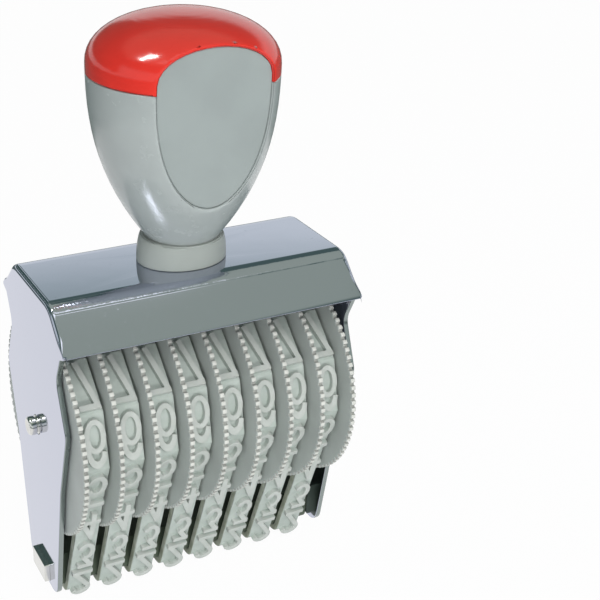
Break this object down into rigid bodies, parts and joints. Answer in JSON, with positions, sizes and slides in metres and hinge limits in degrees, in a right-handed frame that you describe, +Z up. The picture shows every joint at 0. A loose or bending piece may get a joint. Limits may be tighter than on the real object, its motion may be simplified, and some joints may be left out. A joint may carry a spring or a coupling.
{
  "type": "numbering stamp",
  "caption": "Hand numbering stamp: rubber digit bands on finger wheels in a folded steel housing, with a two-part palm handle on an oval collar.",
  "frame": {"origin": "centre of the row of bands, on the plane of the digits that print", "axes": "+X along the axle to the right as seen from the front, -Y to the front, +Z up to the handle"},
  "size_m": [0.0712, 0.0488, 0.1291],
  "materials": {
    "polished_steel": "polished plating",
    "bright_steel": "bright zinc plating",
    "wheel_plastic": "moulded, matte",
    "band_rubber": "moulded rubber, matte",
    "grey_plastic": "moulded, gloss",
    "red_plastic": "moulded, high gloss",
    "face_plastic": "moulded, satin",
    "collar_plastic": "moulded, satin"
  },
  "bodies": {
    "frame": {"housing": "polished_steel", "axle": "bright_steel", "printing_bar": "bright_steel", "spacer": "bright_steel", "number_band_1": "band_rubber", "number_band_2": "band_rubber", "number_band_3": "band_rubber", "number_band_4": "band_rubber", "number_band_5": "band_rubber", "number_band_6": "band_rubber", "number_band_7": "band_rubber", "number_band_8": "band_rubber", "handle_stud": "bright_steel", "stud_nut": "bright_steel", "nut_washer": "bright_steel", "collar": "collar_plastic", "knob_body": "grey_plastic", "knob_cap": "red_plastic", "front_face_plate": "face_plastic", "rear_face_plate": "face_plastic"},
    "wheel_1": {"number_wheel_1": "wheel_plastic"},
    "wheel_2": {"number_wheel_2": "wheel_plastic"},
    "wheel_3": {"number_wheel_3": "wheel_plastic"},
    "wheel_4": {"number_wheel_4": "wheel_plastic"},
    "wheel_5": {"number_wheel_5": "wheel_plastic"},
    "wheel_6": {"number_wheel_6": "wheel_plastic"},
    "wheel_7": {"number_wheel_7": "wheel_plastic"},
    "wheel_8": {"number_wheel_8": "wheel_plastic", "end_disc": "wheel_plastic"}
  },
  "joints": [
    {"name": "wheel_1_turn", "type": "hinge", "parent": "frame", "child": "wheel_1", "pos_m": [0, 0, 0.0442], "axis": [1, 0, 0], "continuous": true},
    {"name": "wheel_2_turn", "type": "hinge", "parent": "frame", "child": "wheel_2", "pos_m": [0, 0, 0.0442], "axis": [1, 0, 0], "continuous": true},
    {"name": "wheel_3_turn", "type": "hinge", "parent": "frame", "child": "wheel_3", "pos_m": [0, 0, 0.0442], "axis": [1, 0, 0], "continuous": true},
    {"name": "wheel_4_turn", "type": "hinge", "parent": "frame", "child": "wheel_4", "pos_m": [0, 0, 0.0442], "axis": [1, 0, 0], "continuous": true},
    {"name": "wheel_5_turn", "type": "hinge", "parent": "frame", "child": "wheel_5", "pos_m": [0, 0, 0.0442], "axis": [1, 0, 0], "continuous": true},
    {"name": "wheel_6_turn", "type": "hinge", "parent": "frame", "child": "wheel_6", "pos_m": [0, 0, 0.0442], "axis": [1, 0, 0], "continuous": true},
    {"name": "wheel_7_turn", "type": "hinge", "parent": "frame", "child": "wheel_7", "pos_m": [0, 0, 0.0442], "axis": [1, 0, 0], "continuous": true},
    {"name": "wheel_8_turn", "type": "hinge", "parent": "frame", "child": "wheel_8", "pos_m": [0, 0, 0.0442], "axis": [1, 0, 0], "continuous": true}
  ]
}
